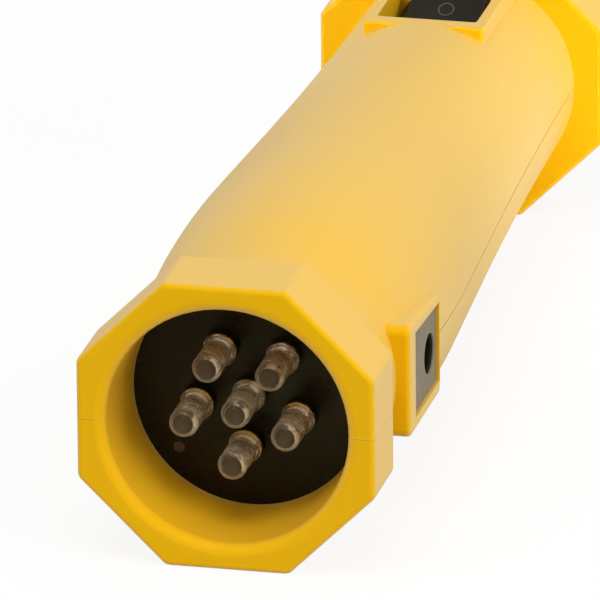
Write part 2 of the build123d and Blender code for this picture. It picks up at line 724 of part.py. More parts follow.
def make_saddle(station):
    """Disc filling the barrel round the cells, with three wire channels."""
    saddle = barrel(WALL + 0.12, station, station + 4.0)
    through = span(station - 1, station + 5)
    for x, z in CELLS_AT:
        saddle = saddle - rod("y", CELL_R + 0.02, *through, x, z)
    for degrees in (30, 150, 270):
        saddle = saddle - rod("y", 2.2, *through, *polar(CHANNEL_RING, degrees))
    return saddle


save("battery_cells", [make_cell(x, z) for x, z in CELLS_AT])
save("battery_caps", make_caps())
save("battery_links", make_links())
save("battery_saddles", [make_saddle(64.0), make_saddle(97.0)])

# --------------------------------------------------------------------- wiring
WIRE_R = 0.65
WIRE_START = BOARD_FRONT + BOARD_T + 1.1
RED_X, RED_Z = polar(CHANNEL_RING, 150)
BLACK_X, BLACK_Z = polar(CHANNEL_RING, 30)
# Routes as (x, station, z)
RED_ROUTE = [(-1.0, WIRE_START, 15.5), (-6, 24, 13.5), (RED_X, 40, RED_Z),
             (RED_X, 62, RED_Z), (RED_X, 82, RED_Z), (RED_X, 103, RED_Z),
             (-13.2, 116, 6.5), (-11.0, 128, -1.0), (-10.6, 133, -7.0)]
BLACK_ROUTE = [(1.5, WIRE_START, -15.5), (6.0, 24, -10.0),
               (BLACK_X + 1.0, 33.5, BLACK_Z + 2.4), (BLACK_X + 0.6, 44, BLACK_Z + 3.6),
               (BLACK_X, 60, BLACK_Z), (BLACK_X, 82, BLACK_Z), (BLACK_X, 103, BLACK_Z),
               (13.2, 116, 6.0), (11.2, 130, 0.0), (10.2, 137, -7.0)]


def wire(route):
    path = Spline(*[(x, back(station), z) for x, station, z in route])
    return sweep(Plane(origin=path @ 0, z_dir=path % 0) * Circle(WIRE_R), path=path)


save("positive_wires", wire(RED_ROUTE))
save("negative_wires", wire(BLACK_ROUTE))
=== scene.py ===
"""LED hand torch with a yellow two-part shell, dressed over its CAD pieces.

It lies along Y: the LEDs face -Y (front), the handle runs back towards +Y, and the rocker
switch is on the upper side (+Z). The floor touches its lowest point. Blender works in metres;
outlines of turned parts and marks are in mm and are scaled by MM.
"""
import json
import math

import bmesh
import bpy
from mathutils import Matrix, Vector
from mathutils.bvhtree import BVHTree


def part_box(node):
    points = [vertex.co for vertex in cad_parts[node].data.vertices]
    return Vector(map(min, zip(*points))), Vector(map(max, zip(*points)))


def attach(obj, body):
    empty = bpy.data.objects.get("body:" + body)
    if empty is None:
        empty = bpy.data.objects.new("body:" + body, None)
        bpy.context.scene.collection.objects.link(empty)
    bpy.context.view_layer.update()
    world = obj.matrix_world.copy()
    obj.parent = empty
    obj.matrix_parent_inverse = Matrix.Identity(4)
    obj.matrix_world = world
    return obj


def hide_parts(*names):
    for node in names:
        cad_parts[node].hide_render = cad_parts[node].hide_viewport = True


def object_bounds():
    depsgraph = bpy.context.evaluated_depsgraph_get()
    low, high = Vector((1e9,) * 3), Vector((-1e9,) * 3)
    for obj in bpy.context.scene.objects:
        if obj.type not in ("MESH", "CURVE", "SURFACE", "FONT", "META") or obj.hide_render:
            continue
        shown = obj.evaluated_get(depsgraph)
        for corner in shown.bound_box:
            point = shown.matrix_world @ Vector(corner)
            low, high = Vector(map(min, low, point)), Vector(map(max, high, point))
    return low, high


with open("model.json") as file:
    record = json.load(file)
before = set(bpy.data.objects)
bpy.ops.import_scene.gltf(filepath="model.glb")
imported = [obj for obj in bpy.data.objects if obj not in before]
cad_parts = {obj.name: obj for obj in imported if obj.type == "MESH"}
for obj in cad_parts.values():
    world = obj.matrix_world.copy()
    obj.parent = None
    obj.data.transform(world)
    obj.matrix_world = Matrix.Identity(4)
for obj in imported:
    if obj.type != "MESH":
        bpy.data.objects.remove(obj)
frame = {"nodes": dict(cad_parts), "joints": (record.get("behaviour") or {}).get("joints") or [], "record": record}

MM = 0.001
NODES = frame["nodes"]
cad_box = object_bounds()
scene = bpy.context.scene

# ------------------------------------------------------------------ LED body sizes, mm
lens_front, lens_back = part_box("centre_led_lens")
base_y, tip_y = lens_back.y / MM, lens_front.y / MM
DOME_R = 2.49
FLANGE_R = 2.89
FLANGE_CHAMFER = 0.12
FLANGE_ROUND = 0.30
FLANGE_FLAT = (-2.55, base_y - 1.1)       # x from the LED's axis, and y behind which it is cut
RINGS = 6                                 # rounded rings of the body, behind its dome
RING_R, RING_DEPTH = 2.48, 0.17
ring_back_y = base_y - 1.15
ring_start = (tip_y + DOME_R + 0.25) * MM             # metres, front end of the rings
ring_length = ring_back_y * MM - ring_start           # metres

CORE_INNER_R, CORE_OUTER_R = 0.90, 1.34   # dark dish under the dome: painted shade, a dark part where the dome shows only shade
core_mouth_y = tip_y + 1.75


# ------------------------------------------------------------------ node helpers
class Graph:
    """Builds the node tree of a material or a world."""

    def __init__(self, owner):
        owner.use_nodes = True
        self.tree = owner.node_tree
        self.tree.nodes.clear()

    def feed(self, socket, value):
        """Link an output to the socket, or set the socket's own value."""
        if isinstance(value, bpy.types.NodeSocket):
            self.tree.links.new(value, socket)
        elif socket.type == "RGBA":
            socket.default_value = (*value, 1.0)
        else:
            socket.default_value = value

    def node(self, kind, inputs=None, **props):
        node = self.tree.nodes.new(kind)
        for key, value in props.items():
            setattr(node, key, value)
        for key, value in (inputs or {}).items():
            self.feed(node.inputs[key], value)
        return node

    def math(self, operation, *operands, clamp=False):
        return self.node("ShaderNodeMath", dict(enumerate(operands)), operation=operation,
                         use_clamp=clamp).outputs[0]

    def separate(self, vector):
        """The X, Y and Z outputs of a vector."""
        return self.node("ShaderNodeSeparateXYZ", {0: vector}).outputs

    def blend(self, factor, first, second):
        """Blend of two shaders."""
        return self.node("ShaderNodeMixShader", {0: factor, 1: first, 2: second}).outputs[0]


class Material(Graph):
    """A material round one principled shader, with textures in object space."""

    def __init__(self, name):
        self.mat = bpy.data.materials.new(name)
        super().__init__(self.mat)
        self.out = self.node("ShaderNodeOutputMaterial")
        self.bsdf = self.node("ShaderNodeBsdfPrincipled")
        self.surface(self.bsdf.outputs[0])
        self.place = self.node("ShaderNodeTexCoord").outputs["Object"]

    def surface(self, shader):
        self.feed(self.out.inputs["Surface"], shader)

    def set(self, **values):
        """Principled inputs by name, with _ for each space."""
        for key, value in values.items():
            self.feed(self.bsdf.inputs[key.replace("_", " ")], value)

    def noise(self, scale, detail=3.0, rough=0.5, stretch=None, distortion=0.0):
        place = self.place
        if stretch:
            place = self.node("ShaderNodeMapping", {"Scale": stretch, "Vector": place}).outputs[0]
        return self.node("ShaderNodeTexNoise", {
            "Scale": scale, "Detail": detail, "Roughness": rough, "Distortion": distortion,
            "Vector": place}).outputs["Fac"]

    def remap(self, value, to, span=(0.3, 0.7)):
        """Value carried from the range span to the range to."""
        return self.node("ShaderNodeMapRange", {
            "From Min": span[0], "From Max": span[1], "To Min": to[0], "To Max": to[1],
            "Value": value}).outputs[0]

    def mix(self, factor, first, second):
        return self.node("ShaderNodeMix", {0: factor, 6: first, 7: second},
                         data_type="RGBA").outputs[2]

    def bump(self, *layers):
        """Chain of (height output, depth in metres)."""
        normal = None
        for height, depth in layers:
            inputs = {"Strength": 1.0, "Distance": depth, "Height": height}
            if normal is not None:
                inputs["Normal"] = normal
            normal = self.node("ShaderNodeBump", inputs).outputs[0]
        self.set(Normal=normal)

    def facing(self):
        """0 square on, 1 at grazing angles."""
        return self.node("ShaderNodeLayerWeight", {"Blend": 0.5}).outputs["Facing"]

    def edge(self, radius):
        """1 near convex or concave edges, 0 on flats."""
        bevel = self.node("ShaderNodeBevel", {"Radius": radius}, samples=6)
        normal = self.node("ShaderNodeNewGeometry").outputs["Normal"]
        dot = self.node("ShaderNodeVectorMath", {0: bevel.outputs[0], 1: normal},
                        operation="DOT_PRODUCT")
        return self.remap(dot.outputs["Value"], to=(1.0, 0.0), span=(0.85, 0.995))


# ------------------------------------------------------------------ yellow shell
SHEEN = (0.06, 0.80)                  # specular level, square on and at grazing angles
PAINTED_SHEEN = (0.80, 0.525, 0.118)          # painted sheen: colour mixed in at grazing angles in place of reflected light
PAINTED_SHEEN_INSIDE = 0.12                   # share of the painted sheen left inside the shroud
SHROUD_R, SHROUD_BACK_Y = 0.0203, -0.079      # metres, space inside the front shroud
POCKET_Y, POCKET_Z = 0.06655, 0.0150          # metres, centre of the switch pocket
POCKET_HALF = (0.00882, 0.01242, 0.0047)      # metres, its half sizes


def painted_sheen_area(m):
    """Two masks for the painted sheen: (1 outside the shroud, the inside share within it) and (0 in the switch
    pocket).
    """
    place = m.separate(m.place)
    x_squared = m.math("MULTIPLY", place["X"], place["X"])
    z_squared = m.math("MULTIPLY", place["Z"], place["Z"])
    radius = m.math("SQRT", m.math("ADD", x_squared, z_squared))
    # the factors set how quickly each mask rises past its limit, per metre
    beside = m.math("MULTIPLY", m.math("SUBTRACT", radius, SHROUD_R), 1500.0, clamp=True)
    behind = m.math("MULTIPLY", m.math("ADD", place["Y"], -SHROUD_BACK_Y), 800.0, clamp=True)
    outside = m.math("MAXIMUM", beside, behind)
    shroud = m.math("ADD", m.math("MULTIPLY", outside, 1 - PAINTED_SHEEN_INSIDE), PAINTED_SHEEN_INSIDE)

    from_y = m.math("SUBTRACT", place["Y"], POCKET_Y)
    from_z = m.math("SUBTRACT", place["Z"], POCKET_Z)
    in_x, in_y, in_z = [m.math("LESS_THAN", m.math("ABSOLUTE", offset), half)
                        for offset, half in zip((place["X"], from_y, from_z), POCKET_HALF)]
    pocket = m.math("MULTIPLY", in_x, m.math("MULTIPLY", in_y, in_z))
    return shroud, m.math("SUBTRACT", 1.0, pocket)


def yellow_plastic(name, green_shift=0.0):
    """Satin moulded plastic: full colour square on, turned paler at grazing angles by a painted sheen."""
    m = Material(name)
    base = (0.825, 0.458 + green_shift, 0.003)
    deep = (0.805, 0.442 + green_shift, 0.002)
    pale = (0.840, 0.475 + green_shift, 0.005)
    worn_colour = (0.91, 0.55, 0.03)
    scuff_colour = (0.55, 0.27, 0.005)

    flow = m.noise(scale=26, distortion=0.3)             # flow of the melt, broad and faint
    speck = m.noise(scale=520, detail=2)
    fine = m.noise(scale=3200, detail=2, rough=0.55)
    colour = m.mix(m.remap(flow, to=(0, 0.6), span=(0.35, 0.65)), base, deep)
    colour = m.mix(m.remap(speck, to=(0.0, 0.25), span=(0.45, 0.75)), colour, pale)
    patches = m.remap(m.noise(scale=180, detail=4, rough=0.7), to=(0.05, 0.35))
    worn = m.math("MULTIPLY", m.edge(radius=0.0009), patches, clamp=True)
    colour = m.mix(worn, colour, worn_colour)
    # short faint scuffs along the handle
    scuffs = m.noise(scale=800, rough=0.7, stretch=(3.0, 0.22, 3.0))
    colour = m.mix(m.remap(scuffs, to=(0.0, 0.07), span=(0.68, 0.82)), colour, scuff_colour)

    # painted sheen: paler colour by view angle, weaker inside the shroud and none in the switch pocket
    facing = m.facing()
    painted_sheen = m.remap(facing, to=(0.0, 1.0), span=(0.22, 0.80))
    for mask in painted_sheen_area(m):
        painted_sheen = m.math("MULTIPLY", painted_sheen, mask)

    rough = m.remap(m.noise(scale=90, detail=4, rough=0.6), to=(0.36, 0.42))
    rough = m.math("ADD", rough, m.remap(fine, to=(-0.02, 0.02)))
    rough = m.math("ADD", rough, m.remap(scuffs, to=(0.0, 0.08), span=(0.66, 0.82)))
    m.set(Base_Color=m.mix(painted_sheen, colour, PAINTED_SHEEN),
          Roughness=rough,
          Specular_IOR_Level=m.remap(facing, to=SHEEN, span=(0.15, 0.85)),
          Subsurface_Weight=0.08,
          Subsurface_Radius=(0.0020, 0.0010, 0.0002),
          Subsurface_Scale=1.0)
    m.bump((fine, 4e-6), (scuffs, 3e-6), (m.noise(scale=1100, detail=2), 3e-6))
    return m.mat


# ------------------------------------------------------------------ LED materials
def clear_resin(name):
    """Water-clear epoxy: warm tint, mould haze and dust, with painted highlight lines along the rings of the body
    and a painted pale rim on the dome.
    """
    m = Material(name)
    ior = 1.52
    haze = m.noise(scale=1400, rough=0.6)
    tint = m.mix(m.remap(haze, to=(0, 1)), (0.86, 0.76, 0.58), (0.74, 0.60, 0.40))

    y = m.separate(m.place)["Y"]
    turn = m.math("MULTIPLY", m.math("SUBTRACT", y, ring_start), RINGS / ring_length)
    wave = m.math("ABSOLUTE", m.math("SINE", m.math("MULTIPLY", turn, math.pi)))
    painted_ring_lines = m.math("POWER", m.math("SUBTRACT", 1.0, wave), 3.0)       # sharp painted highlight lines at the ring valleys
    body = m.remap(y, to=(0.0, 1.0), span=(ring_start - 0.0010, ring_start + 0.0002))
    dust = m.remap(m.noise(scale=900, rough=0.7), to=(0.06, 0.36), span=(0.38, 0.66))
    dust_and_painted_light = m.math("ADD", dust, m.math("MULTIPLY", painted_ring_lines, 0.38))     # dust plus painted highlight lines at the ring valleys
    dust_and_painted_light = m.math("MULTIPLY", dust_and_painted_light, body)
    # the flange is clearer
    flange = m.remap(y, to=(1.0, 0.12), span=((base_y - 1.25) * MM, (base_y - 1.0) * MM))
    dust_and_painted_light = m.math("MULTIPLY", dust_and_painted_light, flange)
    # painted rim light: the dome turns cloudy towards its edge by view angle, so its outline shows pale
    rim = m.remap(m.facing(), to=(0.0, 0.26), span=(0.22, 0.62))
    dome = m.math("SUBTRACT", 1.0, body)
    dust_and_painted_light = m.math("ADD", dust_and_painted_light, m.math("MULTIPLY", rim, dome))
    m.set(Base_Color=tint,
          IOR=ior,
          Specular_IOR_Level=0.07,
          Transmission_Weight=m.math("SUBTRACT", 0.985, dust_and_painted_light, clamp=True),
          Roughness=m.remap(haze, to=(0.0, 0.035)))
    m.bump((m.noise(scale=600, detail=2), 1e-5))

    # the dome's middle reflects little, so it is mostly plain refraction, fading at the rim
    pale_tint = m.mix(m.remap(haze, to=(0, 1)), (0.96, 0.93, 0.87), (0.93, 0.89, 0.80))
    refraction = m.node("ShaderNodeBsdfRefraction",
                        {"Roughness": 0.0, "IOR": ior, "Color": pale_tint})
    middle = m.math("SUBTRACT", 0.86, m.math("MULTIPLY", rim, 3.2), clamp=True)
    m.surface(m.blend(m.math("MULTIPLY", dome, middle), m.bsdf.outputs[0],
                      refraction.outputs[0]))
    return m.mat


def painted_highlight_rim(name):
    """Edge of the dark core with painted light: a painted highlight on its right and upper side, painted shade on
    the left and below.
    """
    m = Material(name)
    normal = m.separate(m.node("ShaderNodeNewGeometry").outputs["Normal"])
    # painted highlight: the lit side leans by these weights of up and right
    lit = m.math("ADD", m.math("MULTIPLY", normal["Z"], 0.40),
                 m.math("MULTIPLY", normal["X"], 0.85))
    colour = m.mix(m.remap(lit, to=(0.0, 1.0), span=(-0.25, 0.70)),
                   (0.055, 0.040, 0.024), (1.0, 0.90, 0.69))
    breaks = m.remap(m.noise(scale=620, rough=0.6), to=(0.0, 0.88), span=(0.48, 0.58))
    m.set(Base_Color=m.mix(breaks, colour, (0.12, 0.085, 0.048)), Roughness=0.35)
    m.bump((m.noise(scale=3000, detail=2), 3e-6))
    return m.mat


def black_mask(name):
    """Glossy solder mask with specks of dust."""
    m = Material(name)
    colour = m.mix(m.remap(m.noise(scale=150, detail=4, rough=0.6), to=(0, 1)),
                   (0.0050, 0.0036, 0.0014), (0.0085, 0.0064, 0.0030))
    dust = m.remap(m.noise(scale=1500, detail=2, rough=0.8), to=(0.0, 0.05), span=(0.68, 0.78))
    m.set(Base_Color=m.mix(dust, colour, (0.07, 0.055, 0.035)),
          Roughness=m.remap(m.noise(scale=260, detail=4, rough=0.6), to=(0.22, 0.34)),
          Specular_IOR_Level=0.16,
          Specular_Tint=(1.0, 0.80, 0.36))
    m.bump((m.noise(scale=130, detail=2), 2e-5), (m.noise(scale=1800, detail=2), 2e-6))
    return m.mat


# ------------------------------------------------------------------ mottled materials
def mottled(name, base, rough, metal, mottle, scale, grain, grain_depth,
            spec=0.5, coat=0.0, edge=None, stretch=None):
    """Moulded, sleeved or plated surface: mottled colour, uneven gloss and a fine grain.
    edge is (radius in metres, colour, strength) of the wear on edges."""
    m = Material(name)
    dark = tuple(c * (1 - mottle) for c in base)
    light = tuple(min(1.0, c * (1 + mottle) + 0.01 * mottle) for c in base)
    broad = m.noise(scale=scale, detail=4, rough=0.55, stretch=stretch)
    small = m.noise(scale=scale * 5.3, rough=0.6, stretch=stretch)
    colour = m.mix(m.remap(broad, to=(0, 1)), dark, light)
    colour = m.mix(m.remap(small, to=(0.0, 0.35)), colour, dark)
    if edge:
        radius, worn_colour, strength = edge
        colour = m.mix(m.math("MULTIPLY", m.edge(radius), strength), colour, worn_colour)
    m.set(Base_Color=colour,
          Metallic=metal,
          Specular_IOR_Level=spec,
          Roughness=m.remap(small, to=(max(0.02, rough - 0.08), rough + 0.08)),
          Coat_Weight=coat,
          Coat_Roughness=0.08)
    m.bump((m.noise(scale=grain, rough=0.6), grain_depth),
           (m.noise(scale=scale * 2, detail=2), grain_depth * 2.5))
    return m.mat


# key, material name, colour, roughness, metal, mottle, mottle scale, grain scale,
# grain depth (metres), other arguments of mottled()
MOTTLED = [
    ("grey_plate", "grey_plate_plastic", (0.225, 0.190, 0.125), 0.55, 0, 0.08, 120, 2400, 12e-6,
     dict(spec=0.2, edge=(0.0006, (0.36, 0.31, 0.23), 0.5))),
    ("black_plastic", "black_plastic", (0.0085, 0.0070, 0.0035), 0.48, 0, 0.3, 90, 2200, 10e-6,
     dict(spec=0.2, edge=(0.0005, (0.04, 0.034, 0.022), 0.5))),
    ("socket_black", "socket_plastic", (0.0110, 0.0090, 0.0036), 0.7, 0, 0.2, 90, 2200, 10e-6,
     dict(spec=0.06)),
    ("dull_pin", "dull_pin", (0.10, 0.085, 0.06), 0.55, 0.6, 0.15, 300, 2600, 4e-6, {}),
    ("rocker_black", "rocker_plastic", (0.0130, 0.0098, 0.0050), 0.42, 0, 0.2, 110, 2600, 6e-6,
     dict(spec=0.2, edge=(0.0005, (0.07, 0.055, 0.035), 0.45))),
    ("red_lens", "red_indicator", (0.045, 0.012, 0.006), 0.35, 0, 0.15, 500, 3000, 5e-6, {}),
    ("screw_steel", "zinc_steel", (0.62, 0.62, 0.60), 0.32, 1, 0.15, 300, 2500, 4e-6,
     dict(stretch=(1, 1, 6))),
    ("tinned_leads", "tinned_leads", (0.80, 0.70, 0.56), 0.38, 0.55, 0.14, 600, 3000, 3e-6, {}),
    # this colour also serves as painted shade in the dark dish under each LED dome
    ("die_cup", "die_cup", (0.100, 0.070, 0.038), 0.6, 0, 0.12, 700, 3000, 3e-6,
     dict(spec=0.05)),
    ("switch_mark", "switch_mark_paint", (0.085, 0.079, 0.064), 0.5, 0, 0.12, 900, 3000, 3e-6,
     dict(spec=0.3)),
    ("led_chip", "led_die", (0.55, 0.50, 0.25), 0.3, 0, 0.1, 3000, 9000, 1e-6, {}),
    ("solder", "solder_joints", (0.70, 0.70, 0.72), 0.22, 1, 0.1, 700, 3000, 4e-6, {}),
    ("gasket_rubber", "gasket_rubber", (0.020, 0.019, 0.018), 0.75, 0, 0.2, 200, 1500, 10e-6, {}),
    ("resistor_ceramic", "resistor_body", (0.02, 0.02, 0.022), 0.4, 0, 0.2, 900, 3000, 4e-6,
     dict(edge=(0.0003, (0.55, 0.54, 0.5), 0.9))),
    ("contact_brass", "contact_brass", (0.78, 0.58, 0.26), 0.28, 1, 0.14, 400, 2600, 3e-6, {}),
    ("green_board", "green_board", (0.012, 0.12, 0.045), 0.3, 0, 0.2, 160, 2000, 6e-6,
     dict(coat=0.3)),
    ("capacitor_can", "capacitor_sleeve", (0.02, 0.025, 0.09), 0.3, 0, 0.15, 200, 2000, 4e-6,
     dict(coat=0.3)),
    ("ferrite", "ferrite", (0.035, 0.034, 0.033), 0.6, 0, 0.2, 500, 2400, 10e-6, {}),
    ("copper_wire", "enamelled_copper", (0.62, 0.22, 0.08), 0.25, 0.9, 0.2, 500, 2500, 40e-6,
     dict(stretch=(1, 1, 12))),
    ("chip_epoxy", "chip_epoxy", (0.015, 0.015, 0.016), 0.5, 0, 0.2, 400, 2600, 6e-6, {}),
    ("cell_wrap", "cell_wrap", (0.03, 0.17, 0.075), 0.25, 0, 0.12, 120, 1800, 5e-6,
     dict(coat=0.5, edge=(0.0008, (0.10, 0.30, 0.18), 0.5))),
    ("nickel", "nickel_plate", (0.66, 0.63, 0.57), 0.3, 1, 0.12, 300, 2600, 4e-6, {}),
    ("foam_black", "closed_cell_foam", (0.02, 0.02, 0.02), 0.85, 0, 0.4, 700, 1600, 50e-6, {}),
    ("red_insulation", "red_wire_pvc", (0.50, 0.012, 0.010), 0.35, 0, 0.12, 200, 1800, 5e-6, {}),
    ("black_insulation", "black_wire_pvc", (0.014, 0.013, 0.013), 0.38, 0, 0.2, 200, 1800, 5e-6,
     {}),
    ("spring_steel", "spring_steel", (0.55, 0.54, 0.52), 0.25, 1, 0.1, 600, 3000, 2e-6, {}),
]

MATS = {
    "yellow_shell": yellow_plastic("yellow_shell_plastic"),
    "yellow_shell_low": yellow_plastic("yellow_shell_plastic_lower", green_shift=-0.004),
    "clear_lens": clear_resin("clear_epoxy"),
    "black_board": black_mask("black_solder_mask"),
    "cup_rim": painted_highlight_rim("led_core_rim"),
}
for key, *values, extras in MOTTLED:
    MATS[key] = mottled(*values, **extras)

# CAD pieces take the material of their slot, apart from these
OWN_MATERIAL = {"lower_shell": "yellow_shell_low", "jack_housing": "socket_black",
                "jack_pin": "dull_pin"}
slot_of = {part["node"]: part["material_slot"] for part in frame["record"]["subparts"]}
for name, piece in NODES.items():
    piece.data.materials.clear()
    piece.data.materials.append(MATS[OWN_MATERIAL.get(name, slot_of[name])])
    for face in piece.data.polygons:
        face.material_index = 0


# ------------------------------------------------------------------ mesh helpers
def make_object(name, bm):
    mesh = bpy.data.meshes.new(name)
    bm.to_mesh(mesh)
    bm.free()
    obj = bpy.data.objects.new(name, mesh)
    scene.collection.objects.link(obj)
    return obj


def lathe(name, profile, axis, segments, material, flat=None, loop=False):
    """Solid of the case turned about a line parallel to Y through axis (x, z), mm.
    profile is (radius, y) in mm, from end to end or as a closed loop. flat is (x, y): behind
    that y, nothing reaches further left of the axis than that x."""
    bm = bmesh.new()
    axis_x, axis_z = axis
    rings = []
    for radius, y in profile:
        if radius < 1e-6:
            rings.append([bm.verts.new((axis_x * MM, y * MM, axis_z * MM))])
            continue
        ring = []
        for k in range(segments):
            angle = 2 * math.pi * k / segments
            dx, dz = radius * math.cos(angle), radius * math.sin(angle)
            if flat is not None and y > flat[1]:
                dx = max(dx, flat[0])
            ring.append(bm.verts.new(((axis_x + dx) * MM, y * MM, (axis_z + dz) * MM)))
        rings.append(ring)
    for a, b in zip(rings, rings[1:] + (rings[:1] if loop else [])):
        for k in range(segments):
            j = (k + 1) % segments
            if len(a) == 1:
                bm.faces.new((a[0], b[k], b[j]))
            elif len(b) == 1:
                bm.faces.new((a[k], b[0], a[j]))
            else:
                bm.faces.new((a[k], b[k], b[j], a[j]))
    bmesh.ops.recalc_face_normals(bm, faces=bm.faces)
    obj = make_object(name, bm)
    for face in obj.data.polygons:
        face.use_smooth = True
    obj.data.materials.append(MATS[material])
    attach(obj, "case")
    return obj


def islands(obj):
    """Boxes (low, high) of the separate solids in a CAD node, in mm."""
    mesh = obj.data
    point_ids, parent = {}, []

    def find(i):
        while parent[i] != i:
            parent[i] = parent[parent[i]]
            i = parent[i]
        return i

    ids = []
    for vertex in mesh.vertices:                # the mesh is split at edges, so join by place
        place = tuple(round(c * 1e6) for c in vertex.co)
        if place not in point_ids:
            point_ids[place] = len(parent)
            parent.append(len(parent))
        ids.append(point_ids[place])
    for face in mesh.polygons:
        root = find(ids[face.vertices[0]])
        for j in face.vertices[1:]:
            parent[find(ids[j])] = root
    boxes = {}
    for vertex, i in zip(mesh.vertices, ids):
        co = vertex.co / MM
        low, high = boxes.get(find(i), (co, co))
        boxes[find(i)] = (Vector(map(min, low, co)), Vector(map(max, high, co)))
    return list(boxes.values())


def rocker_mark(name, inner, outer, closed):
    """Thin raised mark on the rocker's upper side, between two lines of (x, y) mm."""
    height, sunk = 0.03, -0.02                  # mm from the rocker's surface
    above = 0.2                                 # metres, start of the rays
    mesh = NODES["rocker_button"].data
    tree = BVHTree.FromPolygons([v.co for v in mesh.vertices],
                                [tuple(p.vertices) for p in mesh.polygons])
    bm = bmesh.new()

    def drop(point, offset):
        x, y = point
        hit, normal, _, _ = tree.ray_cast(Vector((x * MM, y * MM, above)), Vector((0, 0, -1)))
        if normal.z < 0:
            normal = -normal
        return bm.verts.new(hit + normal * (offset * MM))

    rows = [[drop(near, sunk), drop(near, height), drop(far, height), drop(far, sunk)]
            for near, far in zip(inner, outer)]
    for k in range(len(rows) if closed else len(rows) - 1):
        p, q = rows[k], rows[(k + 1) % len(rows)]
        for i in range(4):
            j = (i + 1) % 4
            bm.faces.new((p[i], p[j], q[j], q[i]))
    if not closed:
        bm.faces.new(rows[0])
        bm.faces.new(list(reversed(rows[-1])))
    bmesh.ops.recalc_face_normals(bm, faces=bm.faces)
    obj = make_object(name, bm)
    obj.data.materials.append(MATS["switch_mark"])
    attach(obj, "rocker")


# ------------------------------------------------------------------ clear LED bodies
def lens_profile():
    """One epoxy solid from back to front: flange, ringed body, round dome."""
    points = [(0.0, base_y), (FLANGE_R - FLANGE_CHAMFER, base_y),
              (FLANGE_R, base_y - FLANGE_CHAMFER)]
    for i in range(1, 7):                       # rounded front edge of the flange
        angle = math.radians(90 * i / 6)
        points.append((FLANGE_R - FLANGE_ROUND + FLANGE_ROUND * math.cos(angle),
                       base_y - 0.66 - FLANGE_ROUND * math.sin(angle)))
    points.append((2.46, base_y - 0.98))        # foot of the body
    steps = 60
    for i in range(steps + 1):                  # body of stacked rounded rings
        t = i / steps
        bulge = abs(math.sin(math.pi * RINGS * t)) ** 0.6
        points.append((RING_R - RING_DEPTH * (1 - bulge), ring_back_y - ring_length / MM * t))
    steps = 14
    for i in range(steps + 1):
        angle = math.radians(90 * i / steps)
        radius = DOME_R * math.cos(angle) if i < steps else 0.0
        points.append((radius, tip_y + DOME_R - DOME_R * math.sin(angle)))
    return points


# radius and y of the dark dish of painted shade under the dome, mm
CORE = [(0.0, core_mouth_y + 0.25), (CORE_INNER_R, core_mouth_y + 0.20),
        (CORE_OUTER_R, core_mouth_y), (CORE_OUTER_R + 0.04, core_mouth_y + 0.06),
        (CORE_INNER_R + 0.1, core_mouth_y + 0.45), (0.0, core_mouth_y + 0.5)]
# closed section of the rim round it: radius beyond the dish's edge, y behind its mouth, mm
CORE_RIM = [(-0.01, 0.03), (0.06, -0.09), (0.20, -0.02), (0.42, 0.55),
            (0.50, 1.15), (0.40, 1.15), (0.30, 0.60), (0.08, 0.12)]

# centre LED first, then the ring
led_boxes = sorted(islands(NODES["led_chips"]), key=lambda box: (box[0] + box[1]).xz.length)
led_lenses = []
for k, (low, high) in enumerate(led_boxes):
    centre = (low + high) / 2
    axis = (centre.x, centre.z)
    led_lenses.append(lathe("ring_led_body_%d" % k if k else "centre_led_body", lens_profile(),
                            axis, 56, "clear_lens", flat=FLANGE_FLAT))
    # a dark dish of painted shade under each dome, and round it a rim with a painted highlight
    lathe("led_core_%d" % k, CORE, axis, 40, "die_cup")
    lathe("led_core_rim_%d" % k, [(CORE_OUTER_R + r, core_mouth_y + y) for r, y in CORE_RIM],
          axis, 48, "cup_rim", loop=True)
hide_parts("centre_led_lens")
for lens in led_lenses[1:]:
    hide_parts("ring_led_lenses")

# ------------------------------------------------------------------ marks on the rocker, mm
OFF_INNER_R, OFF_OUTER_R = 1.19, 1.43     # circle
BAR_HALF_WIDTH, BAR_LENGTH = 0.19, 2.6    # bar along Y
pivot = next(j for j in frame["joints"] if j["name"] == "rocker_tilt")["pos_m"]
pivot_y = pivot[1] / MM
off_y = pivot_y + 2.75


def circle(radius):
    angles = [2 * math.pi * i / 56 for i in range(56)]
    return [(radius * math.cos(a), off_y + radius * math.sin(a)) for a in angles]


bar = [pivot_y - 5.2 + BAR_LENGTH * i / 12 for i in range(13)]
rocker_mark("rocker_mark_off", circle(OFF_INNER_R), circle(OFF_OUTER_R), closed=True)
rocker_mark("rocker_mark_on", [(-BAR_HALF_WIDTH, y) for y in bar],
            [(BAR_HALF_WIDTH, y) for y in bar], closed=False)

# ------------------------------------------------------------------ floor
FLOOR_HALF = 6.0
FLOOR_CELLS = 24
FLOOR_GAP = 0.00002          # below the lowest point
FLOOR_BOUNCE = 0.58          # how much of its light the pale floor gives back to the torch
FLOOR_LIFT = 0.88            # share of plain white where the camera sees it
lowest = cad_box[0]


def floor_plane():
    bm = bmesh.new()
    n = FLOOR_CELLS
    for i in range(n + 1):
        for j in range(n + 1):
            bm.verts.new((-FLOOR_HALF + 2 * FLOOR_HALF * i / n,
                          -FLOOR_HALF * 0.5 + 2 * FLOOR_HALF * j / n, lowest[2] - FLOOR_GAP))
    bm.verts.ensure_lookup_table()
    for i in range(n):
        for j in range(n):
            a = i * (n + 1) + j
            bm.faces.new([bm.verts[k] for k in (a, a + n + 1, a + n + 2, a + 1)])
    bmesh.ops.recalc_face_normals(bm, faces=bm.faces)
    if bm.faces[0].normal.z < 0:
        bmesh.ops.reverse_faces(bm, faces=bm.faces)
    return make_object("floor", bm)


